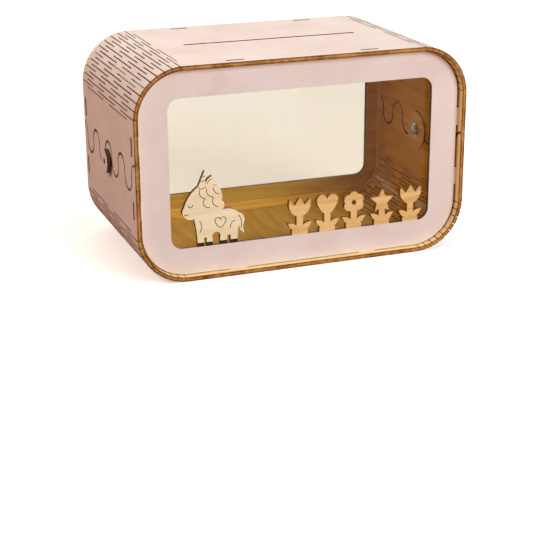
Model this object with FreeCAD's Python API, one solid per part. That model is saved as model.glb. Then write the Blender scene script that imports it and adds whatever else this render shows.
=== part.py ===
"""Wooden money box with windows, laser-cut from 3 mm plywood.

Frame: X is the width, the front is at -Y, Z is up. The origin is the middle of the bottom face.
Two bent sheets make the shell: their corners are living hinges, and they meet in a wavy seam
at mid-height of both side walls. Two window frames plug into the shell with tabs.
"""
import FreeCAD, Part
import math
import os
from FreeCAD import Vector

# ---------------------------------------------------------------- driving dimensions, mm
WIDTH = 245.0
DEPTH = 140.0
HEIGHT = 150.0
CORNER = 36.0                # outer radius of the bent corners
PLY = 3.2                    # thickness of every plywood layer

# living hinge: rows of slits across each bent corner
HINGE_ROWS = 21
SLIT_OUTSIDE = 0.65          # bending opens a slit on the outside
SLIT_INSIDE = 0.12           # and closes it on the inside
SLIT_LENGTH = DEPTH / 3
SLIT_BRIDGE = DEPTH / 9      # wood left between two slits of a row

# coin slot in the top
COIN_SLOT_LENGTH = 131.0
COIN_SLOT_WIDTH = 3.0

# wavy seam between the two shells, in the side walls
WAVE_PITCH = DEPTH / 4
WAVE_CREST = 86.0            # height of the top of the lower shell's fingers
WAVE_TROUGH = 65.0
SEAM_GAP = 0.5

# window frames
FRAME_RECESS = 5.0           # from the shell's edge to the frame's face
SIDE_GAP = 1.6               # between the frame's outline and the shell's side walls
LEVEL_GAP = 0.5              # the same at the top and bottom
FRAME_CORNER = 31.6
WINDOW_WIDTH = 195.0
BACK_WINDOW_WIDTH = 208.0
WINDOW_HEIGHT = 105.0
WINDOW_RADIUS = 8.5
TAB_LENGTH = 12.7
TAB_X = 49.0                 # middle of a tab in the top and bottom
TAB_RISE = 22.0              # middle of a side tab, above and below mid-height
SLOT_PLAY = 0.15             # play along a tab, and all round it in the flaps
FLAP_SLOT_PLAY = 0.6         # above a tab in a flap, so that the flap can swing off it

# clear panes behind the frames
PANE = 2.0
PANE_WIDTH = 225.0
PANE_HEIGHT = 127.0
PANE_RADIUS = 20.0

# turning locks in the side walls
LOCK_Z = 72.0
LOCK_PLAY = 0.2              # between a side wall and the discs on it
KNOB_RADIUS = 8.5
INNER_DISC_RADIUS = 14.0
INNER_DISC = 1.2             # a thin disc, nearly flush with the wall
SCREW_RADIUS = 2.0
WALL_HOLE_RADIUS = 2.05
DISC_HOLE_RADIUS = 2.02
SCREW_TIP_DEPTH = 1.0        # the screw ends this far below the knob's outer face
WASHER_RADIUS = 5.0
WASHER = 0.8
HEAD_RADIUS = 4.0
HEAD = 2.6
RECESS_WIDTH = 0.9           # cross recess in the screw head
RECESS_LENGTH = 4.4
RECESS_DEPTH = 1.3

# engraving on the cut-outs
ENGRAVED = 0.35              # depth of an engraved line
LINE_WIDTH = 0.5
PIERCE_RADIUS = 0.31         # the laser lingers where a stroke starts, turns or ends

# cut-outs standing in the front window
ORNAMENT_CENTRES = (-3.0, 18.0, 38.5, 60.5, 83.0)
UNICORN_LEFT = -89.0

# ---------------------------------------------------------------- derived places
WALL_X = WIDTH / 2
CORNER_X = WIDTH / 2 - CORNER
UPPER_CORNER_Z = HEIGHT - CORNER
LOWER_CORNER_Z = CORNER
MID_Z = HEIGHT / 2
FRONT = -DEPTH / 2
FRAME_FRONT = FRONT + FRAME_RECESS
PANE_FRONT = FRAME_FRONT + PLY
SILL_Z = MID_Z - WINDOW_HEIGHT / 2
BEYOND = 5.0                 # how far cutting tools reach past a face
X_AXIS = Vector(1, 0, 0)
Y_AXIS = Vector(0, 1, 0)
Z_AXIS = Vector(0, 0, 1)


def block(low, high):
    """Box between two opposite corners."""
    size = [high[i] - low[i] for i in range(3)]
    return Part.makeBox(size[0], size[1], size[2], Vector(*low))


def rounded_plate(width, height, radius, thick, front):
    """Upright plate centred on the box, rounded in the XZ plane, front face at y = front."""
    low = (-width / 2, front, MID_Z - height / 2)
    plate = block(low, (width / 2, front + thick, MID_Z + height / 2))
    along_y = [edge for edge in plate.Edges if abs(edge.tangentAt(edge.FirstParameter).y) > 0.9]
    return plate.makeFillet(radius, along_y)


def mirrored(shape, normal):
    """Copy of a shape on the other side of the origin plane with this normal."""
    return shape.mirror(Vector(0, 0, 0), normal)


# ---------------------------------------------------------------- shell
def below_seam(shift):
    """Solid that fills everything below the wavy seam, its fingers grown by shift."""
    crest_radius = WAVE_PITCH / 4 + shift
    trough_radius = WAVE_PITCH / 4 - shift
    crest_z = WAVE_CREST - WAVE_PITCH / 4
    trough_z = WAVE_TROUGH + WAVE_PITCH / 4
    x = -WALL_X - BEYOND
    edges = []
    for count in range(-2, 3):
        crest_y = count * WAVE_PITCH
        left = Vector(x, crest_y - crest_radius, crest_z)
        right = Vector(x, crest_y + crest_radius, crest_z)
        over = Vector(x, crest_y, crest_z + crest_radius)
        edges.append(Part.Arc(left, over, right).toShape())
        if count == 2:
            break
        trough_y = crest_y + WAVE_PITCH / 2
        down = Vector(x, trough_y - trough_radius, trough_z)
        up = Vector(x, trough_y + trough_radius, trough_z)
        under = Vector(x, trough_y, trough_z - trough_radius)
        edges.append(Part.makeLine(right, down))
        edges.append(Part.Arc(down, under, up).toShape())
        edges.append(Part.makeLine(up, Vector(x, trough_y + trough_radius, crest_z)))
    start = Vector(x, -2 * WAVE_PITCH - crest_radius, crest_z)
    end = Vector(x, 2 * WAVE_PITCH + crest_radius, crest_z)
    low_end = Vector(x, end.y, -BEYOND)
    low_start = Vector(x, start.y, -BEYOND)
    edges.append(Part.makeLine(end, low_end))
    edges.append(Part.makeLine(low_end, low_start))
    edges.append(Part.makeLine(low_start, start))
    face = Part.Face(Part.Wire(edges))
    return face.extrude(Vector(2 * (WALL_X + BEYOND), 0, 0))


def slit(corner_x, corner_z, angle, mid_y, length):
    """One radial slit through a bent corner, wider outside; angle 0 points outward along +X."""
    near = CORNER - PLY
    taper = (SLIT_OUTSIDE - SLIT_INSIDE) / 2 / PLY
    near_half = SLIT_INSIDE / 2 - taper
    far_half = SLIT_OUTSIDE / 2 + taper
    low_y = mid_y - length / 2
    corners = [Vector(near - 1, low_y, -near_half), Vector(CORNER + 1, low_y, -far_half),
               Vector(CORNER + 1, low_y, far_half), Vector(near - 1, low_y, near_half)]
    tool = Part.Face(Part.makePolygon(corners + corners[:1])).extrude(Vector(0, length, 0))
    tool.rotate(Vector(0, 0, 0), Y_AXIS, -angle)
    tool.translate(Vector(corner_x, 0, corner_z))
    return tool


def living_hinge(side, corner_z, upward):
    """All slits of one corner; side is -1 or 1, upward is 1 for a corner that bends up."""
    slits = []
    for row in range(HINGE_ROWS):
        turn = 90.0 * row / (HINGE_ROWS - 1) * upward
        angle = turn if side > 0 else 180.0 - turn
        if row % 2 == 0:
            middle = (SLIT_LENGTH + SLIT_BRIDGE) / 2
            places = [(-middle, SLIT_LENGTH), (middle, SLIT_LENGTH)]
        else:
            inner_end = SLIT_LENGTH / 2 + SLIT_BRIDGE
            length = DEPTH / 2 - inner_end + 1
            middle = inner_end + length / 2
            places = [(0.0, SLIT_LENGTH), (-middle, length), (middle, length)]
        for mid_y, length in places:
            slits.append(slit(side * CORNER_X, corner_z, angle, mid_y, length))
    return slits


def coin_slot():
    """Long slot with round ends, right through the top."""
    straight = COIN_SLOT_LENGTH - COIN_SLOT_WIDTH
    radius = COIN_SLOT_WIDTH / 2
    low_z = HEIGHT - PLY - BEYOND
    tool = block((-straight / 2, -radius, low_z), (straight / 2, radius, HEIGHT + BEYOND))
    for side in (-1, 1):
        foot = Vector(side * straight / 2, 0, low_z)
        tool = tool.fuse(Part.makeCylinder(radius, PLY + 2 * BEYOND, foot, Z_AXIS))
    return tool


def level_slots(low_z):
    """Slots in the top or bottom sheet for the frames' tabs, through the sheet above low_z."""
    half = TAB_LENGTH / 2 + SLOT_PLAY
    tools = []
    for side in (-1, 1):
        tool = block((side * TAB_X - half, FRAME_FRONT, low_z - 1),
                     (side * TAB_X + half, PANE_FRONT, low_z + PLY + 1))
        tools.append(tool)
        tools.append(mirrored(tool, Y_AXIS))
    return tools


def wall_slots(mid_z, play, play_above):
    """Slots in both side walls for the frames' tabs at one height."""
    low = (WALL_X - PLY - 1, FRAME_FRONT - play, mid_z - TAB_LENGTH / 2 - SLOT_PLAY)
    high = (WALL_X + 1, PANE_FRONT + play, mid_z + TAB_LENGTH / 2 + play_above)
    front_right = block(low, high)
    right = [front_right, mirrored(front_right, Y_AXIS)]
    return right + [mirrored(tool, X_AXIS) for tool in right]


def ring():
    """The whole shell before it is cut apart: a rounded tube along Y."""
    outer = rounded_plate(WIDTH, HEIGHT, CORNER, DEPTH, FRONT)
    inner = rounded_plate(WIDTH - 2 * PLY, HEIGHT - 2 * PLY, CORNER - PLY,
                          DEPTH + 2 * BEYOND, FRONT - BEYOND)
    return outer.cut(inner)


def upper_sheet():
    """Top sheet with its living hinges, as three pieces: shell, left flap and right flap."""
    sheet = ring().cut(below_seam(SEAM_GAP / 2))
    tools = living_hinge(-1, UPPER_CORNER_Z, 1) + living_hinge(1, UPPER_CORNER_Z, 1)
    tools += level_slots(HEIGHT - PLY)
    tools += wall_slots(MID_Z + TAB_RISE, SLOT_PLAY, FLAP_SLOT_PLAY)
    tools.append(coin_slot())
    sheet = sheet.cut(tools)
    reach_y = DEPTH / 2 + BEYOND
    reach_x = WALL_X + BEYOND
    above = block((-reach_x, -reach_y, UPPER_CORNER_Z), (reach_x, reach_y, HEIGHT + BEYOND))
    left = block((-reach_x, -reach_y, 0), (0, reach_y, UPPER_CORNER_Z))
    right = block((0, -reach_y, 0), (reach_x, reach_y, UPPER_CORNER_Z))
    return sheet.common(above), sheet.common(left), sheet.common(right)


def lower_sheet():
    """Bottom sheet with its living hinges, side walls with fingers, and lock holes."""
    sheet = ring().common(below_seam(-SEAM_GAP / 2))
    tools = living_hinge(-1, LOWER_CORNER_Z, -1) + living_hinge(1, LOWER_CORNER_Z, -1)
    tools += level_slots(0)
    tools += wall_slots(MID_Z - TAB_RISE, 0, SLOT_PLAY)
    hole_start = Vector(-WALL_X - BEYOND, 0, LOCK_Z)
    tools.append(Part.makeCylinder(WALL_HOLE_RADIUS, 2 * (WALL_X + BEYOND), hole_start, X_AXIS))
    return sheet.cut(tools)


# ---------------------------------------------------------------- frames and panes
def window_frame(window_width):
    """Front frame with its window and the eight tabs that plug into the shell."""
    plate = rounded_plate(WIDTH - 2 * (PLY + SIDE_GAP), HEIGHT - 2 * (PLY + LEVEL_GAP),
                          FRAME_CORNER, PLY, FRAME_FRONT)
    half = TAB_LENGTH / 2
    root = PLY + SIDE_GAP + 1
    tabs = []
    for side in (-1, 1):
        x = side * TAB_X
        tabs.append(block((x - half, FRAME_FRONT, 0), (x + half, PANE_FRONT, root)))
        tabs.append(block((x - half, FRAME_FRONT, HEIGHT - root), (x + half, PANE_FRONT, HEIGHT)))
        z = MID_Z + side * TAB_RISE
        right = block((WALL_X - root, FRAME_FRONT, z - half), (WALL_X, PANE_FRONT, z + half))
        tabs.append(right)
        tabs.append(mirrored(right, X_AXIS))
    opening = rounded_plate(window_width, WINDOW_HEIGHT, WINDOW_RADIUS,
                            PLY + 2 * BEYOND, FRAME_FRONT - BEYOND)
    return plate.fuse(tabs).cut(opening).removeSplitter()


def pane():
    """Clear pane glued behind the front frame."""
    return rounded_plate(PANE_WIDTH, PANE_HEIGHT, PANE_RADIUS, PANE, PANE_FRONT)


# ---------------------------------------------------------------- turning locks, right side
def ring_disc(radius, hole, thick, start_x):
    """Round disc with a hole, axis along X through the lock's centre."""
    start = Vector(start_x, 0, LOCK_Z)
    disc = Part.makeCylinder(radius, thick, start, X_AXIS)
    return disc.cut(Part.makeCylinder(hole, thick, start, X_AXIS))


def pan_head_screw(head_seat, tip_x):
    """Screw from the inside: domed head with a cross recess, shank along +X to a cone tip."""
    cone = SCREW_RADIUS
    crown = head_seat - HEAD
    edge = head_seat - HEAD * 0.4
    rim = Vector(edge, HEAD_RADIUS, 0)
    top = Vector(crown, 0, 0)
    bulge = Vector(crown + HEAD * 0.13, HEAD_RADIUS * 0.66, 0)
    outline = [
        Part.Arc(top, bulge, rim).toShape(),
        Part.makeLine(rim, Vector(head_seat, HEAD_RADIUS, 0)),
        Part.makeLine(Vector(head_seat, HEAD_RADIUS, 0), Vector(head_seat, SCREW_RADIUS, 0)),
        Part.makeLine(Vector(head_seat, SCREW_RADIUS, 0), Vector(tip_x - cone, SCREW_RADIUS, 0)),
        Part.makeLine(Vector(tip_x - cone, SCREW_RADIUS, 0), Vector(tip_x, 0.4, 0)),
        Part.makeLine(Vector(tip_x, 0.4, 0), Vector(tip_x, 0, 0)),
        Part.makeLine(Vector(tip_x, 0, 0), top),
    ]
    screw = Part.Face(Part.Wire(outline)).revolve(Vector(0, 0, 0), X_AXIS, 360)
    long_half = RECESS_LENGTH / 2
    short_half = RECESS_WIDTH / 2
    bottom_x = crown + RECESS_DEPTH
    for half_y, half_z in ((long_half, short_half), (short_half, long_half)):
        screw = screw.cut(block((crown - 1, -half_y, -half_z), (bottom_x, half_y, half_z)))
    screw.translate(Vector(0, 0, LOCK_Z))
    return screw


def lock():
    """Knob outside, disc, washer and screw inside, for the right wall."""
    knob_x = WALL_X + LOCK_PLAY
    disc_x = WALL_X - PLY - LOCK_PLAY - INNER_DISC
    washer_x = disc_x - WASHER
    return {
        "knob": ring_disc(KNOB_RADIUS, DISC_HOLE_RADIUS, PLY, knob_x),
        "inner_disc": ring_disc(INNER_DISC_RADIUS, DISC_HOLE_RADIUS, INNER_DISC, disc_x),
        "washer": ring_disc(WASHER_RADIUS, DISC_HOLE_RADIUS, WASHER, washer_x),
        "screw": pan_head_screw(washer_x, knob_x + PLY - SCREW_TIP_DEPTH),
    }


# ---------------------------------------------------------------- cut-outs in the window
def flat(u, v):
    """Point on the cut-outs' front plane, u along X and v up from the window's sill."""
    return Vector(u, FRAME_FRONT, SILL_Z + v)


def thicken(wires):
    """Plywood solid from a closed outline on the cut-outs' front plane."""
    return Part.Face(Part.Wire(wires)).extrude(Vector(0, PLY, 0))


def bends(points):
    """Arcs end to end: start, middle, end, middle, end and so on."""
    return [Part.Arc(flat(*points[i]), flat(*points[i + 1]), flat(*points[i + 2])).toShape()
            for i in range(0, len(points) - 2, 2)]


def chain(corners):
    """Straight edges through the points."""
    return [Part.makeLine(flat(*corners[i]), flat(*corners[i + 1]))
            for i in range(len(corners) - 1)]


def round_plate(u, v, radius):
    """Round plywood plate of the cut-outs' thickness."""
    return Part.makeCylinder(radius, PLY, flat(u, v), Y_AXIS)


def bar(u_low, v_low, u_high, v_high):
    """Rectangular plywood plate of the cut-outs' thickness."""
    low = flat(u_low, v_low)
    return Part.makeBox(u_high - u_low, PLY, v_high - v_low, low)


def leaf(u, v, reach, rise, bulge):
    """Pointed leaf from (u, v), its tip reach to the side and rise up."""
    tip = (u + reach, v + rise)
    middle = (u + reach / 2, v + rise / 2)
    span = math.hypot(reach, rise)
    across = (-rise / span * bulge, reach / span * bulge)
    one = (middle[0] + across[0], middle[1] + across[1])
    other = (middle[0] - across[0], middle[1] - across[1])
    return thicken(bends([(u, v), one, tip, other, (u, v)]))


def joined(parts):
    """Several plates in one plane as one clean solid."""
    return parts[0].fuse(parts[1:]).removeSplitter().Solids[0]


def groove_outline(edge):
    """Closed outline of one straight or round stretch of an engraved line."""
    half = LINE_WIDTH / 2
    span = edge.LastParameter - edge.FirstParameter
    places = [edge.valueAt(edge.FirstParameter + span * part) for part in (0, 0.5, 1)]
    if not isinstance(edge.Curve, Part.Circle):
        across = (places[2] - places[0]).cross(Y_AXIS).normalize() * half
        corners = [places[0] + across, places[2] + across, places[2] - across, places[0] - across]
        return [Part.makeLine(corners[i], corners[(i + 1) % 4]) for i in range(4)]
    centre = edge.Curve.Center
    outer = [centre + (place - centre) * (1 + half / edge.Curve.Radius) for place in places]
    inner = [centre + (place - centre) * (1 - half / edge.Curve.Radius) for place in places]
    return [
        Part.Arc(*outer).toShape(),
        Part.makeLine(outer[2], inner[2]),
        Part.Arc(inner[2], inner[1], inner[0]).toShape(),
        Part.makeLine(inner[0], outer[0]),
    ]


def engraved_line(edges):
    """Tools for a burnt line with dot ends that follows the edges on the front plane."""
    tools = []
    for edge in edges:
        tool = Part.Face(Part.Wire(groove_outline(edge))).extrude(Vector(0, ENGRAVED + 1, 0))
        tool.translate(Vector(0, -1, 0))
        tools.append(tool)
        for place in (edge.firstVertex().Point, edge.lastVertex().Point):
            foot = place - Vector(0, 1, 0)
            tools.append(Part.makeCylinder(PIERCE_RADIUS, ENGRAVED + 1, foot, Y_AXIS))
    return tools


STEM_HALF = 2.4
FOOT_HALF = 6.0
FOOT_HEIGHT = 3.5
LEAF_ROOT = 2.4
LEAF_REACH = 8.8
LEAF_RISE = 6.4
LEAF_BULGE = 2.1


def stem(u, height):
    """Post with a foot and two leaves, standing on the window's sill."""
    return [
        bar(u - STEM_HALF, 0, u + STEM_HALF, height),
        bar(u - FOOT_HALF, 0, u + FOOT_HALF, FOOT_HEIGHT),
        leaf(u, LEAF_ROOT, -LEAF_REACH, LEAF_RISE, LEAF_BULGE),
        leaf(u, LEAF_ROOT, LEAF_REACH, LEAF_RISE, LEAF_BULGE),
    ]


def tulip(u):
    """Tulip: a cup with three points on a stem."""
    round_side = [(u - 7.5, 26), (u - 6.6, 17), (u, 13), (u + 6.6, 17), (u + 7.5, 26)]
    points = [(u + 7.5, 26), (u + 3.8, 21.5), (u, 27), (u - 3.8, 21.5), (u - 7.5, 26)]
    cup = thicken(bends(round_side) + chain(points))
    return joined([cup] + stem(u, 16))


def heart_flower(u):
    """Heart on a stem."""
    heart = thicken(bends([
        (u, 23.5), (u + 4.6, 27), (u + 8.2, 22.8), (u + 5.8, 17),
        (u, 11.5), (u - 5.8, 17), (u - 8.2, 22.8), (u - 4.6, 27), (u, 23.5),
    ]))
    return joined([heart] + stem(u, 14))


PETALS = 6
PETAL_RADIUS = 3.5
PETAL_RING = 4.6
FLOWER_V = 18.9
FLOWER_EYE = 1.8


def daisy(u):
    """Round-petalled flower on a stem, with a hole for its eye."""
    petals = [round_plate(u, FLOWER_V, PETAL_RING)]
    for count in range(PETALS):
        turn = math.radians(90 + 360 * count / PETALS)
        side = PETAL_RING * math.cos(turn)
        rise = PETAL_RING * math.sin(turn)
        petals.append(round_plate(u + side, FLOWER_V + rise, PETAL_RADIUS))
    flower = joined(petals + stem(u, 14))
    return flower.cut(round_plate(u, FLOWER_V, FLOWER_EYE))


STAR_V = 17.6
STAR_OUTER = 9.4
STAR_INNER = 4.4


def star_flower(u):
    """Five-pointed star on a stem."""
    corners = []
    for count in range(11):
        reach = STAR_OUTER if count % 2 == 0 else STAR_INNER
        turn = math.radians(90 + 36 * count)
        corners.append((u + reach * math.cos(turn), STAR_V + reach * math.sin(turn)))
    return joined([thicken(chain(corners))] + stem(u, 14))


HOOVES = ((10.0, 15.5), (16.5, 22.0), (26.0, 32.2), (34.0, 40.2))
HOOF_HEIGHT = 2.8


def unicorn(left):
    """Small standing unicorn of a plain kind, looking left; left is the tip of its nose."""
    def moved(points):
        return [(left + u, v) for u, v in points]

    edges = bends(moved([
        (10.5, 0), (10.0, 9.0), (8.2, 20.5),                 # front leg and chest
        (4.6, 20.2), (1.3, 22.5),                            # chin
        (-0.1, 25.5), (1.2, 29),                             # nose
        (5.2, 37), (11.6, 43),                               # face
    ]))
    edges += chain(moved([(11.6, 43), (16.4, 54), (17, 43.8)]))
    edges += bends(moved([
        (17, 43.8), (18.2, 47.2), (21.8, 49.6),              # ear
        (23, 46.4), (22.3, 43),
        (26.6, 41), (28.3, 36.6),                            # mane
        (28.9, 34.2), (28, 31.8),
        (30.3, 28.6), (28.6, 25),
        (35.2, 24.9), (41, 21.4),                            # back
        (44.4, 18.2), (44, 13.4),                            # tail
        (43.7, 10), (44.9, 6.6),
        (41.8, 8.6), (40.9, 13.2),
        (39.6, 6.8), (39.8, 0),                              # hind leg
    ]))
    edges += chain(moved([(39.8, 0), (34.4, 0), (34.3, 4.6)]))
    edges += bends(moved([(34.3, 4.6), (33.1, 6.4), (31.9, 4.6)]))
    edges += chain(moved([(31.9, 4.6), (31.8, 0), (26.8, 0), (26.6, 5)]))
    edges += bends(moved([(26.6, 5), (23.9, 9.4), (21.3, 5)]))
    edges += chain(moved([(21.3, 5), (21.4, 0), (17, 0), (16.9, 4.6)]))
    edges += bends(moved([(16.9, 4.6), (16, 6.4), (15.1, 4.6)]))
    edges += chain(moved([(15.1, 4.6), (15, 0), (10.5, 0)]))
    figure = thicken(edges)

    lines = [
        bends(moved([(4.2, 30.4), (5.9, 28.9), (7.6, 30.6)])),               # closed eye
        bends(moved([(1.6, 24.2), (2.6, 23.5), (3.8, 23.9)])),               # mouth
        bends(moved([(11.9, 42.3), (14.4, 41.2), (16.8, 42.4)])),            # horn's foot
        chain(moved([(12.2, 46.1), (17.4, 47.2)])),                          # horn's turns
        chain(moved([(13.6, 49.3), (17.3, 50.3)])),
        bends(moved([(18.4, 44.6), (19.4, 46.6), (21, 47.6)])),              # inside of the ear
        bends(moved([(12.6, 40.4), (13, 36.4), (16.4, 34.2),                 # mane
                     (15.4, 29.8), (19.4, 27.4)])),
        bends(moved([(17.6, 41), (18.6, 36.8), (22.4, 34.6), (22, 30.4), (25.6, 27.4)])),
        bends(moved([(22.4, 41.2), (23.4, 38.2), (26.2, 36.6)])),
        bends(moved([(40.6, 19.6), (42.4, 15.4), (42.2, 10.6)])),            # tail
        bends(moved([(34.4, 11.4), (35.2, 14.6), (37.8, 16.2)])),            # thigh
        bends(moved([(12.4, 10.6), (13.4, 14.6), (12.2, 18.4)])),            # shoulder
        bends(moved([(27.2, 12.2), (24.4, 14.6), (23.2, 17.4),               # plain heart
                     (25.2, 19.6), (27.2, 17.8)])),
        bends(moved([(27.2, 17.8), (29.2, 19.6), (31.2, 17.4),
                     (30, 14.6), (27.2, 12.2)])),
    ]
    tools = []
    for edges in lines:
        tools += engraved_line(edges)
    for low_u, high_u in HOOVES:
        low = flat(left + low_u, 0) - Vector(0, 1, 1)
        tools.append(Part.makeBox(high_u - low_u, 1 + ENGRAVED, 1 + HOOF_HEIGHT, low))
    return figure.cut(tools)


# ---------------------------------------------------------------- build and write
upper_shell, left_flap, right_flap = upper_sheet()
front_pane = pane()

nodes = {
    "upper_shell": upper_shell,
    "upper_left_flap": left_flap,
    "upper_right_flap": right_flap,
    "lower_shell": lower_sheet(),
    "front_frame": window_frame(WINDOW_WIDTH),
    "back_frame": mirrored(window_frame(BACK_WINDOW_WIDTH), Y_AXIS),
    "front_pane": front_pane,
    "back_pane": mirrored(front_pane, Y_AXIS),
    "unicorn": unicorn(UNICORN_LEFT),
}
for piece, shape in lock().items():
    nodes["right_" + piece] = shape
    nodes["left_" + piece] = mirrored(shape, X_AXIS)

ornament_makers = (tulip, heart_flower, daisy, star_flower, tulip)
ornament_names = ("tulip_left", "heart_flower", "daisy", "star_flower", "tulip_right")
for name, maker, centre in zip(ornament_names, ornament_makers, ORNAMENT_CENTRES):
    nodes[name] = maker(centre)

os.makedirs("parts", exist_ok=True)
for name, shape in nodes.items():
    if len(shape.Solids) == 1:
        shape = shape.Solids[0]
    shape.exportStep("parts/" + name + ".step")
    box = shape.BoundBox
    print(name, "valid" if shape.isValid() else "INVALID", "solids", len(shape.Solids),
          "volume %.0f" % shape.Volume,
          "x %.2f %.2f y %.2f %.2f z %.2f %.2f" % (box.XMin, box.XMax, box.YMin, box.YMax,
                                                  box.ZMin, box.ZMax))
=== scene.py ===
"""Looks of the wooden money box: materials, light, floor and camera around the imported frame."""
import math

import bpy
from mathutils import Matrix, Vector


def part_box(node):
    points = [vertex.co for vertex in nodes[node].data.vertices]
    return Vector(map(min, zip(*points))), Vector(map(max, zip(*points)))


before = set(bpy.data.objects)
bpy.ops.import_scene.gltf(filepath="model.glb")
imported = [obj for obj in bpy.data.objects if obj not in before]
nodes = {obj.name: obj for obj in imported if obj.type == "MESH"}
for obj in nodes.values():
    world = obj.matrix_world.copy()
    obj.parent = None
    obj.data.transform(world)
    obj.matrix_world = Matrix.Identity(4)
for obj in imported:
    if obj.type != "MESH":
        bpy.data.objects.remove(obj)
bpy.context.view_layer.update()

MM = 0.001

# ---------------------------------------------------------------- sizes read from the frame
shell_low, shell_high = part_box("upper_shell")
lower_low, lower_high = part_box("lower_shell")
flap_low, flap_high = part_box("upper_right_flap")
frame_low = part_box("front_frame")[0]
WIDTH = shell_high.x - shell_low.x
HEIGHT = shell_high.z
DEPTH = shell_high.y - shell_low.y
PLY = flap_high.x - flap_low.x
CORNER = HEIGHT - flap_high.z
CORNER_X = WIDTH / 2 - CORNER
CORNER_Z = HEIGHT / 2 - CORNER
LIP = frame_low.y - shell_low.y       # depth of the shell's edge in front of the frame
SEAM_TOP = lower_high.z
SEAM_LOW = flap_low.z

# the sheet's cut pattern, the same as in the CAD model
PLY_LAYERS = 3
HINGE_ROWS = 21
HINGE_STEP = math.pi / 2 / (HINGE_ROWS - 1)
SLIT_LENGTH = DEPTH / 3
SLIT_BRIDGE = DEPTH / 9
WAVE_PITCH = DEPTH / 4

# how far the laser's heat has browned the face beside a cut
SEAM_SCORCH = 1.35 * MM
SLIT_SCORCH = 0.6 * MM


# ---------------------------------------------------------------- node helpers
class Graph:
    """Small wrapper that builds a material's nodes from right to left in few words."""

    def __init__(self, name):
        self.material = bpy.data.materials.new(name)
        self.material.use_nodes = True
        self.tree = self.material.node_tree
        self.tree.nodes.clear()
        self.output = self.tree.nodes.new("ShaderNodeOutputMaterial")
        self.coordinates = self.tree.nodes.new("ShaderNodeTexCoord")

    def node(self, kind, settings=None, **inputs):
        """New node; inputs are named sockets, by number as i0, i1 or by name."""
        new = self.tree.nodes.new(kind)
        for key, value in (settings or {}).items():
            setattr(new, key, value)
        for key, value in inputs.items():
            socket = new.inputs[int(key[1:])] if key[0] == "i" and key[1:].isdigit() \
                else new.inputs[key.replace("_", " ")]
            self.plug(value, socket)
        return new

    def plug(self, value, socket):
        """Link a socket to the input, or set the input's constant."""
        if isinstance(value, bpy.types.NodeSocket):
            self.tree.links.new(value, socket)
        else:
            socket.default_value = value

    def math(self, operation, a, b=0.0, c=0.0, clamp=False):
        settings = {"operation": operation, "use_clamp": clamp}
        return self.node("ShaderNodeMath", settings, i0=a, i1=b, i2=c).outputs[0]

    def vector(self, operation, a, b=(0, 0, 0)):
        new = self.node("ShaderNodeVectorMath", {"operation": operation}, i0=a, i1=b)
        return new.outputs["Value" if operation in ("LENGTH", "DOT_PRODUCT") else "Vector"]

    def split(self, vector):
        return self.node("ShaderNodeSeparateXYZ", i0=vector).outputs

    def join(self, x, y, z):
        return self.node("ShaderNodeCombineXYZ", i0=x, i1=y, i2=z).outputs[0]

    def step(self, value, low, high):
        """0 below low and 1 above high, smooth between."""
        settings = {"interpolation_type": "SMOOTHSTEP", "clamp": True}
        return self.node("ShaderNodeMapRange", settings,
                         i0=value, i1=low, i2=high, i3=0.0, i4=1.0).outputs[0]

    def noise(self, vector, scale, detail=3.0, roughness=0.55, stretch=(1, 1, 1)):
        """Noise value from 0 to 1; stretch scales the place along each axis first."""
        placed = self.vector("MULTIPLY", vector, stretch)
        return self.node("ShaderNodeTexNoise", None, Vector=placed, Scale=scale,
                         Detail=detail, Roughness=roughness).outputs["Fac"]

    def mix(self, factor, a, b, blend="MIX"):
        new = self.node("ShaderNodeMix", {"data_type": "RGBA", "blend_type": blend})
        self.plug(factor, new.inputs[0])
        self.plug(a, new.inputs[6])
        self.plug(b, new.inputs[7])
        return new.outputs[2]

    def ramp(self, factor, stops):
        """Colour ramp from (place, colour) stops."""
        new = self.node("ShaderNodeValToRGB", None, i0=factor)
        elements = new.color_ramp.elements
        while len(elements) < len(stops):
            elements.new(0.5)
        for element, (place, colour) in zip(elements, stops):
            element.position = place
            element.color = colour
        return new.outputs["Color"]

    def surface(self, colour, roughness, height, distance, specular=0.35):
        """Finish with a Principled shader; height drives a bump of that distance."""
        bump = self.node("ShaderNodeBump", None, Strength=0.6, Distance=distance, Height=height)
        shader = self.node("ShaderNodeBsdfPrincipled", None, Base_Color=colour,
                           Roughness=roughness, Normal=bump.outputs[0])
        shader.inputs["Specular IOR Level"].default_value = specular
        self.tree.links.new(shader.outputs[0], self.output.inputs[0])
        return self.material


def srgb(red, green, blue):
    """Linear colour from display values 0 to 255."""
    def linear(value):
        value /= 255.0
        return value / 12.92 if value <= 0.04045 else ((value + 0.055) / 1.055) ** 2.4
    return (linear(red), linear(green), linear(blue), 1.0)


# ---------------------------------------------------------------- wood colours
PINK = srgb(238, 227, 224)
PINK_DEEP = srgb(228, 211, 206)
VENEER = srgb(252, 212, 92)
VENEER_DARK = srgb(234, 174, 50)
# painted light: paler cream for the inner strip in front of the frames, as if lit from the front and
# top
LEDGE_PAINTED_LIGHT = srgb(252, 224, 168)
GOLDEN = srgb(240, 202, 138)
GOLDEN_DARK = srgb(214, 164, 92)
CREAM = srgb(250, 238, 204)
CREAM_DARK = srgb(238, 219, 177)
EDGE_LIGHT = srgb(214, 162, 86)
EDGE_MID = srgb(146, 94, 40)
EDGE_DARK = srgb(70, 34, 12)
CHAR = srgb(30, 13, 5)


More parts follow.
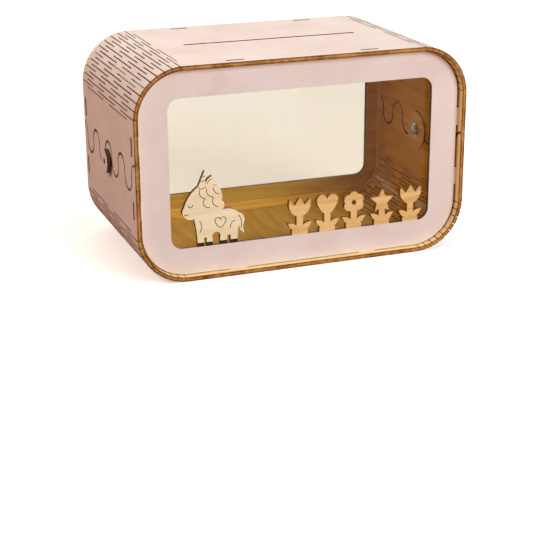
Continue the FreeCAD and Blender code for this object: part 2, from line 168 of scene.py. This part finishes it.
def veneer(graph, place, grain_axis, light, dark):
    """Wood veneer colour and a height for its bump; the grain runs along one axis."""
    along = {"x": (6, 90, 90), "y": (90, 6, 90), "z": (90, 90, 6)}[grain_axis]
    broad = {"x": (1.2, 14, 14), "y": (14, 1.2, 14), "z": (14, 14, 1.2)}[grain_axis]
    fibre = graph.noise(place, 12.0, 4.0, 0.6, along)
    figure = graph.noise(place, 3.2, 2.0, 0.5, broad)
    rings = graph.math("FRACT", graph.math("MULTIPLY", figure, 7.0))
    rings = graph.math("ABSOLUTE", graph.math("SUBTRACT", rings, 0.5))
    tone = graph.math("ADD", graph.math("MULTIPLY", fibre, 0.6), graph.math("MULTIPLY", rings, 0.8))
    colour = graph.mix(graph.step(tone, 0.3, 0.95), light, dark)
    return colour, fibre


def paint(graph, place, light, dark):
    """Matt paint rolled on veneer: faint clouds of tone and the grain just telling through."""
    clouds = graph.noise(place, 22.0, 3.0)
    grain = graph.noise(place, 40.0, 4.0, 0.6, (4, 26, 26))
    tone = graph.math("ADD", graph.math("MULTIPLY", clouds, 0.8), graph.math("MULTIPLY", grain, 0.2))
    colour = graph.mix(graph.step(tone, 0.3, 0.75), light, dark)
    return colour, grain


def burnt_edge(graph, place, depth, along_scale=(1, 1, 1)):
    """Laser-cut plywood edge: layers of veneer, toasted unevenly, darkest at both faces.

    depth is 0 at one face and 1 at the other.
    """
    layer = graph.math("FRACT", graph.math("MULTIPLY", depth, float(PLY_LAYERS)))
    count = graph.math("FLOOR", graph.math("MULTIPLY", depth, float(PLY_LAYERS)))
    core = graph.math("COMPARE", count, 1.0, 0.5)
    streak = graph.noise(place, 260.0, 4.0, 0.65, along_scale)
    blotch = graph.noise(place, 60.0, 3.0)
    tone = graph.math("ADD", graph.math("MULTIPLY", streak, 0.55),
                      graph.math("MULTIPLY", blotch, 0.5))
    tone = graph.math("ADD", tone, graph.math("MULTIPLY", core, 0.14))
    glue = graph.math("MAXIMUM", graph.step(layer, 0.9, 1.0),
                      graph.math("SUBTRACT", 1.0, graph.step(layer, 0.0, 0.1)))
    rim = graph.math("MAXIMUM", graph.step(depth, 0.84, 1.0),
                     graph.math("SUBTRACT", 1.0, graph.step(depth, 0.0, 0.16)))
    dark = graph.math("MAXIMUM", graph.math("MULTIPLY", glue, 0.35), graph.math("MULTIPLY", rim, 0.75))
    colour = graph.ramp(tone, [(0.30, EDGE_DARK), (0.52, EDGE_MID), (0.78, EDGE_LIGHT)])
    return graph.mix(dark, colour, EDGE_DARK), streak


def shell_place(graph):
    """Depth from the shell's outer surface as a share of the ply, and how squarely a face looks out."""
    place = graph.coordinates.outputs["Object"]
    x, y, z = graph.split(place)
    z_mid = graph.math("SUBTRACT", z, HEIGHT / 2)
    past_x = graph.math("MAXIMUM", graph.math("SUBTRACT", graph.math("ABSOLUTE", x), CORNER_X), 0.0)
    past_z = graph.math("MAXIMUM", graph.math("SUBTRACT", graph.math("ABSOLUTE", z_mid), CORNER_Z), 0.0)
    outward = graph.join(graph.math("MULTIPLY", past_x, graph.math("SIGN", x)), 0.0,
                         graph.math("MULTIPLY", past_z, graph.math("SIGN", z_mid)))
    reach = graph.vector("LENGTH", outward)
    depth = graph.math("DIVIDE", graph.math("SUBTRACT", CORNER, reach), PLY)
    direction = graph.vector("NORMALIZE", outward)
    square = graph.math("ABSOLUTE", graph.vector("DOT_PRODUCT", direction,
                                                 graph.coordinates.outputs["Normal"]))
    return place, y, depth, square


def near(graph, distance, width):
    """1 up to 0.4 of the width, then fading to 0 at the width."""
    return graph.math("SUBTRACT", 1.0, graph.step(distance, 0.4 * width, width))


def seam_distance(graph, y, z):
    """Distance from the wavy seam of half circles joined by short upright runs."""
    pitch = WAVE_PITCH
    radius = pitch / 4
    across = graph.math("ABSOLUTE", graph.math("SUBTRACT", y, graph.math(
        "MULTIPLY", pitch, graph.math("ROUND", graph.math("DIVIDE", y, pitch)))))
    over = graph.math("MAXIMUM", graph.math("SUBTRACT", z, SEAM_TOP - radius), 0.0)
    under = graph.math("MAXIMUM", graph.math("SUBTRACT", SEAM_LOW + radius, z), 0.0)
    crest = graph.vector("LENGTH", graph.join(across, over, 0.0))
    trough = graph.vector("LENGTH", graph.join(graph.math("SUBTRACT", pitch / 2, across), under, 0.0))
    to_crest = graph.math("ABSOLUTE", graph.math("SUBTRACT", crest, radius))
    to_trough = graph.math("ABSOLUTE", graph.math("SUBTRACT", trough, radius))
    upper = graph.math("GREATER_THAN", z, (SEAM_TOP + SEAM_LOW) / 2)
    return graph.math("ADD", graph.math("MULTIPLY", upper, to_crest),
                      graph.math("MULTIPLY", graph.math("SUBTRACT", 1.0, upper), to_trough))


def slit_distance(graph, x, y, z_mid):
    """Distance from the nearest living-hinge slit, growing fast away from the bent corners."""
    past_x = graph.math("SUBTRACT", graph.math("ABSOLUTE", x), CORNER_X)
    past_z = graph.math("SUBTRACT", graph.math("ABSOLUTE", z_mid), CORNER_Z)
    angle = graph.math("ARCTAN2", past_z, past_x)
    row = graph.math("DIVIDE", angle, HINGE_STEP)
    whole = graph.math("ROUND", row)
    turn = graph.math("MULTIPLY", graph.math("ABSOLUTE", graph.math("SUBTRACT", row, whole)),
                      HINGE_STEP * CORNER)
    odd = graph.math("ABSOLUTE", graph.math("MODULO", whole, 2.0))
    from_centre = graph.math("ABSOLUTE", graph.math(
        "SUBTRACT", graph.math("ABSOLUTE", y), (SLIT_LENGTH + SLIT_BRIDGE) / 2))
    even_off = graph.math("SUBTRACT", from_centre, SLIT_LENGTH / 2)
    odd_off = graph.math("SUBTRACT", SLIT_BRIDGE / 2, from_centre)
    off = graph.math("ADD", graph.math("MULTIPLY", odd, odd_off),
                     graph.math("MULTIPLY", graph.math("SUBTRACT", 1.0, odd), even_off))
    off = graph.math("MAXIMUM", off, 0.0)
    outside = graph.math("MAXIMUM", graph.math("MULTIPLY", past_x, -1.0),
                         graph.math("MULTIPLY", past_z, -1.0))
    outside = graph.math("MAXIMUM", graph.math("SUBTRACT", outside, 0.4 * MM), 0.0)
    return graph.math("ADD", graph.math("ADD", turn, off), graph.math("MULTIPLY", outside, 4.0))


def shell_material():
    """Bent sheet: painted outside, bare veneer inside, toasted where the laser cut, with painted shade
    in the narrow cuts and a paler painted-light strip on the inner face in front of the frames.
    """
    graph = Graph("bent_plywood")
    place, y, depth, square = shell_place(graph)
    outer, grain = paint(graph, place, PINK, PINK_DEEP)
    inner, fibre = veneer(graph, place, "y", VENEER, VENEER_DARK)
    edge, streak = burnt_edge(graph, place, depth)
    # painted shade: the cut faces of slits, tab slots and seams, away from the sheet's ends, are pulled
    # most of the way to EDGE_DARK as if shaded inside these narrow cuts
    end_distance = graph.math("SUBTRACT", DEPTH / 2, graph.math("ABSOLUTE", y))
    narrow_cut_shade = graph.step(end_distance, 0.2 * MM, 0.6 * MM)
    cut = graph.mix(graph.math("MULTIPLY", narrow_cut_shade, 0.85), edge, EDGE_DARK)
    inside = graph.step(depth, 0.45, 0.55)
    face = graph.mix(inside, outer, inner)
    x, y, z = graph.split(place)
    z_mid = graph.math("SUBTRACT", z, HEIGHT / 2)
    on_wall = graph.math("GREATER_THAN", graph.math("ABSOLUTE", x), WIDTH / 2 - 2 * PLY)
    seam = graph.math("MULTIPLY", near(graph, seam_distance(graph, y, z), SEAM_SCORCH), on_wall)
    slits = near(graph, slit_distance(graph, x, y, z_mid), SLIT_SCORCH)
    smoke = graph.step(graph.noise(place, 120.0, 2.0), 0.3, 0.62)
    scorch = graph.math("MULTIPLY", graph.math("MAXIMUM", seam, slits),
                        graph.math("ADD", 0.5, graph.math("MULTIPLY", smoke, 0.5)))
    # painted light: the inner face within LIP of the front and back ends, in front of the frames, is
    # painted a paler cream as if lit from the front and top
    lit_ledge = graph.math("MULTIPLY", inside, graph.math("SUBTRACT", 1.0, graph.step(
        end_distance, 0.9 * LIP, LIP)))
    face = graph.mix(lit_ledge, face, LEDGE_PAINTED_LIGHT)
    face = graph.mix(scorch, face, EDGE_DARK)
    flat = graph.step(square, 0.55, 0.7)
    colour = graph.mix(flat, cut, face)
    height = graph.math("ADD", graph.math("MULTIPLY", grain, 0.4), graph.math("MULTIPLY", streak, 0.4))
    height = graph.math("ADD", height, graph.math("MULTIPLY", fibre, 0.2))
    # paint has a slight sheen; the bare veneer inside has nearly none
    roughness = graph.math("ADD", 0.5, graph.math("MULTIPLY", grain, 0.15))
    roughness = graph.math("ADD", roughness, graph.math("MULTIPLY", inside, 0.35))
    return graph.surface(colour, roughness, height, 0.12 * MM, 0.2)


def flat_material(name, axis, front, back, light, dark, kind, burn):
    """Flat plywood piece between two planes: finished faces, toasted edges, burnt engraving.

    axis is the thickness direction; front and back are the planes' places in metres. Paint
    covers only the face that is farther from the middle of the box. burn darkens the cut edge.
    """
    graph = Graph(name)
    place = graph.coordinates.outputs["Object"]
    along = graph.split(place)[axis]
    depth = graph.math("DIVIDE", graph.math("SUBTRACT", along, front), back - front)
    normal = graph.split(graph.coordinates.outputs["Normal"])[axis]
    square = graph.step(graph.math("ABSOLUTE", normal), 0.6, 0.8)
    middle = graph.math("ABSOLUTE", graph.math("SUBTRACT", depth, 0.5))
    on_face = graph.step(middle, 0.42, 0.48)
    if kind == "paint":
        painted, grain = paint(graph, place, light, dark)
        bare, fibre = veneer(graph, place, "x" if axis == 1 else "y", VENEER, VENEER_DARK)
        middle_place = (abs(front) + abs(back)) / 2
        outer_half = graph.math("GREATER_THAN", graph.math("ABSOLUTE", along), middle_place)
        face = graph.mix(outer_half, bare, painted)
    else:
        face, grain = veneer(graph, place, "x" if axis == 1 else "y", light, dark)
    edge, streak = burnt_edge(graph, place, depth)
    edge = graph.mix(burn, edge, CHAR)
    engraved = graph.mix(graph.noise(place, 500.0, 2.0), EDGE_DARK, CHAR)
    cut = graph.mix(square, edge, engraved)
    finished = graph.math("MULTIPLY", square, on_face)
    colour = graph.mix(finished, cut, face)
    height = graph.math("ADD", graph.math("MULTIPLY", grain, 0.5), graph.math("MULTIPLY", streak, 0.5))
    roughness = graph.math("ADD", 0.48, graph.math("MULTIPLY", grain, 0.16))
    return graph.surface(colour, roughness, height, 0.1 * MM)


def acrylic_material():
    """Lightly tinted clear sheet with weak reflections, see-through to shadow and bounced rays."""
    graph = Graph("clear_acrylic")
    place = graph.coordinates.outputs["Object"]
    smear = graph.noise(place, 30.0, 3.0, 0.5)
    shader = graph.node("ShaderNodeBsdfPrincipled", None, Base_Color=srgb(233, 232, 225),
                        Roughness=graph.math("MULTIPLY", smear, 0.08))
    shader.inputs["Transmission Weight"].default_value = 1.0
    shader.inputs["IOR"].default_value = 1.3
    clear = graph.node("ShaderNodeBsdfTransparent", None, Color=srgb(247, 246, 242))
    path = graph.node("ShaderNodeLightPath")
    unseen = graph.math("MAXIMUM", path.outputs["Is Shadow Ray"], path.outputs["Is Diffuse Ray"])
    both = graph.node("ShaderNodeMixShader", None, i0=unseen, i1=shader.outputs[0],
                      i2=clear.outputs[0])
    graph.tree.links.new(both.outputs[0], graph.output.inputs[0])
    return graph.material


def steel_material():
    """Zinc-plated steel with fine turning marks."""
    graph = Graph("zinc_steel")
    place = graph.coordinates.outputs["Object"]
    marks = graph.noise(place, 900.0, 3.0, 0.6, (0.3, 1, 1))
    tone = graph.mix(marks, srgb(196, 199, 203), srgb(150, 152, 156))
    bump = graph.node("ShaderNodeBump", None, Strength=0.3, Distance=0.02 * MM, Height=marks)
    shader = graph.node("ShaderNodeBsdfPrincipled", None, Base_Color=tone,
                        Roughness=graph.math("ADD", 0.18, graph.math("MULTIPLY", marks, 0.2)),
                        Normal=bump.outputs[0])
    shader.inputs["Metallic"].default_value = 1.0
    graph.tree.links.new(shader.outputs[0], graph.output.inputs[0])
    return graph.material


def dress(names, material):
    """Give CAD nodes a material on every slot."""
    for name in names:
        slots = nodes[name].data.materials
        if len(slots) == 0:
            slots.append(material)
        for index in range(len(slots)):
            slots[index] = material


def flat_piece(name, axis, colours, kind, burn=0.3):
    """Dress one flat CAD node with a material that knows its two faces."""
    low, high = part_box(name)
    light, dark = colours
    dress([name], flat_material(name + "_ply", axis, low[axis], high[axis], light, dark, kind,
                               burn))


dress(["upper_shell", "upper_left_flap", "upper_right_flap", "lower_shell"], shell_material())
for name in ("front_frame", "back_frame"):
    flat_piece(name, 1, (PINK, PINK_DEEP), "paint", 0.6)
flat_piece("unicorn", 1, (CREAM, CREAM_DARK), "veneer")
for name in ("tulip_left", "heart_flower", "daisy", "star_flower", "tulip_right"):
    flat_piece(name, 1, (GOLDEN, GOLDEN_DARK), "veneer")
for side in ("left", "right"):
    flat_piece(side + "_knob", 0, (PINK, PINK_DEEP), "paint", 0.8)
    flat_piece(side + "_inner_disc", 0, (PINK, PINK_DEEP), "paint")
dress(["front_pane", "back_pane"], acrylic_material())
dress(["left_screw", "right_screw", "left_washer", "right_washer"], steel_material())


# ---------------------------------------------------------------- floor
FLOOR_BOUNCED = srgb(116, 70, 48)     # what bounced light gets from the pale floor
FLOOR_MIRRORED = srgb(70, 52, 40)     # what reflections get from it


def floor():
    """Plain pale floor that curves up into a backdrop far behind the box."""
    reach = 14.0
    back = 3.0
    bend = 1.2
    steps = 16
    profile = [(-reach, 0.0), (back, 0.0)]
    for count in range(1, steps + 1):
        turn = math.radians(90 * count / steps)
        profile.append((back + bend * math.sin(turn), bend * (1 - math.cos(turn))))
    profile.append((back + bend, 3.5))
    points = [(side * reach, y, z) for y, z in profile for side in (-1, 1)]
    faces = [(2 * i, 2 * i + 1, 2 * i + 3, 2 * i + 2) for i in range(len(profile) - 1)]
    mesh = bpy.data.meshes.new("floor")
    mesh.from_pydata(points, [], faces)
    for face in mesh.polygons:
        face.use_smooth = True
    piece = bpy.data.objects.new("floor", mesh)
    bpy.context.scene.collection.objects.link(piece)
    graph = Graph("pale_floor")
    grain = graph.noise(graph.coordinates.outputs["Object"], 40.0, 3.0)
    tone = graph.mix(grain, srgb(254, 253, 252), srgb(249, 248, 247))
    path = graph.node("ShaderNodeLightPath")
    mirrored = graph.math("SUBTRACT", path.outputs["Is Glossy Ray"],
                          path.outputs["Is Transmission Ray"], clamp=True)
    tone = graph.mix(path.outputs["Is Diffuse Ray"], tone, FLOOR_BOUNCED)
    tone = graph.mix(mirrored, tone, FLOOR_MIRRORED)
    material = graph.surface(tone, 0.7, grain, 0.2 * MM, 0.1)
    shader = material.node_tree.nodes["Principled BSDF"]
    graph.plug(tone, shader.inputs["Emission Color"])
    # painted light: the floor glows, weakly near the box and more strongly far away, so the backdrop
    # reads plain white
    far = graph.vector("LENGTH", graph.coordinates.outputs["Object"])
    glow = graph.math("ADD", 0.42, graph.math("MULTIPLY", 0.68, graph.step(far, 0.5, 3.0)))
    graph.plug(glow, shader.inputs["Emission Strength"])
    mesh.materials.append(material)


floor()


# ---------------------------------------------------------------- light
def soft_box(name, place, aim, size, power, colour):
    """Area light at place that looks at aim."""
    data = bpy.data.lights.new(name, "AREA")
    data.shape = "RECTANGLE"
    data.size, data.size_y = size
    data.energy = power
    data.color = colour
    piece = bpy.data.objects.new(name, data)
    piece.location = place
    direction = Vector(aim) - Vector(place)
    piece.rotation_euler = direction.to_track_quat("-Z", "Y").to_euler()
    bpy.context.scene.collection.objects.link(piece)


soft_box("key", (0.6, -1.5, 0.7), (0, 0, 0.08), (1.0, 1.0), 21.0, (0.99, 0.99, 0.99))
soft_box("top", (0.2, 0.1, 1.8), (0, 0, 0.1), (1.6, 1.2), 6.2, (0.9, 1.0, 1.0))
soft_box("left", (-1.3, -0.1, 1.3), (0, 0, 0.1), (0.6, 0.6), 13.0, (1.0, 0.76, 0.6))
soft_box("back", (0.3, 1.8, 0.9), (0, 0, 0.08), (1.6, 1.0), 8.0, (1.0, 0.98, 0.95))

def studio_walls():
    """Warm dim surroundings that light the box, plain white where they are looked at."""
    world = bpy.data.worlds.new("studio")
    world.use_nodes = True
    tree = world.node_tree
    dim = tree.nodes["Background"]
    dim.inputs["Color"].default_value = (1.0, 0.80, 0.64, 1.0)
    dim.inputs["Strength"].default_value = 0.31
    white = tree.nodes.new("ShaderNodeBackground")
    white.inputs["Color"].default_value = (1.0, 1.0, 1.0, 1.0)
    path = tree.nodes.new("ShaderNodeLightPath")
    both = tree.nodes.new("ShaderNodeMixShader")
    tree.links.new(path.outputs["Is Camera Ray"], both.inputs[0])
    tree.links.new(dim.outputs[0], both.inputs[1])
    tree.links.new(white.outputs[0], both.inputs[2])
    tree.links.new(both.outputs[0], tree.nodes["World Output"].inputs[0])
    bpy.context.scene.world = world


studio_walls()
bpy.context.scene.view_settings.view_transform = "Standard"


# ---------------------------------------------------------------- camera
CAMERA_AZIMUTH = math.radians(-20.729)
CAMERA_ELEVATION = math.radians(20.085)
CAMERA_ROLL = math.radians(-0.243)
CAMERA_DISTANCE = 1.0646
CAMERA_TARGET = Vector((0.0031, 0.0, -0.0314))
CAMERA_LENS = 91.21
CAMERA_SENSOR = 36.0


def camera():
    """Camera at the photograph's viewing angle."""
    back = Vector((math.sin(CAMERA_AZIMUTH) * math.cos(CAMERA_ELEVATION),
                   -math.cos(CAMERA_AZIMUTH) * math.cos(CAMERA_ELEVATION),
                   math.sin(CAMERA_ELEVATION)))
    right = (-back).cross(Vector((0, 0, 1))).normalized()
    up = right.cross(-back)
    turned_right = math.cos(CAMERA_ROLL) * right + math.sin(CAMERA_ROLL) * up
    turned_up = -math.sin(CAMERA_ROLL) * right + math.cos(CAMERA_ROLL) * up
    turn = Matrix((turned_right, turned_up, back)).transposed().to_4x4()
    data = bpy.data.cameras.new("camera")
    data.lens = CAMERA_LENS
    data.sensor_width = CAMERA_SENSOR
    piece = bpy.data.objects.new("camera", data)
    piece.matrix_world = Matrix.Translation(CAMERA_TARGET + back * CAMERA_DISTANCE) @ turn
    bpy.context.scene.collection.objects.link(piece)
    bpy.context.scene.camera = piece


camera()
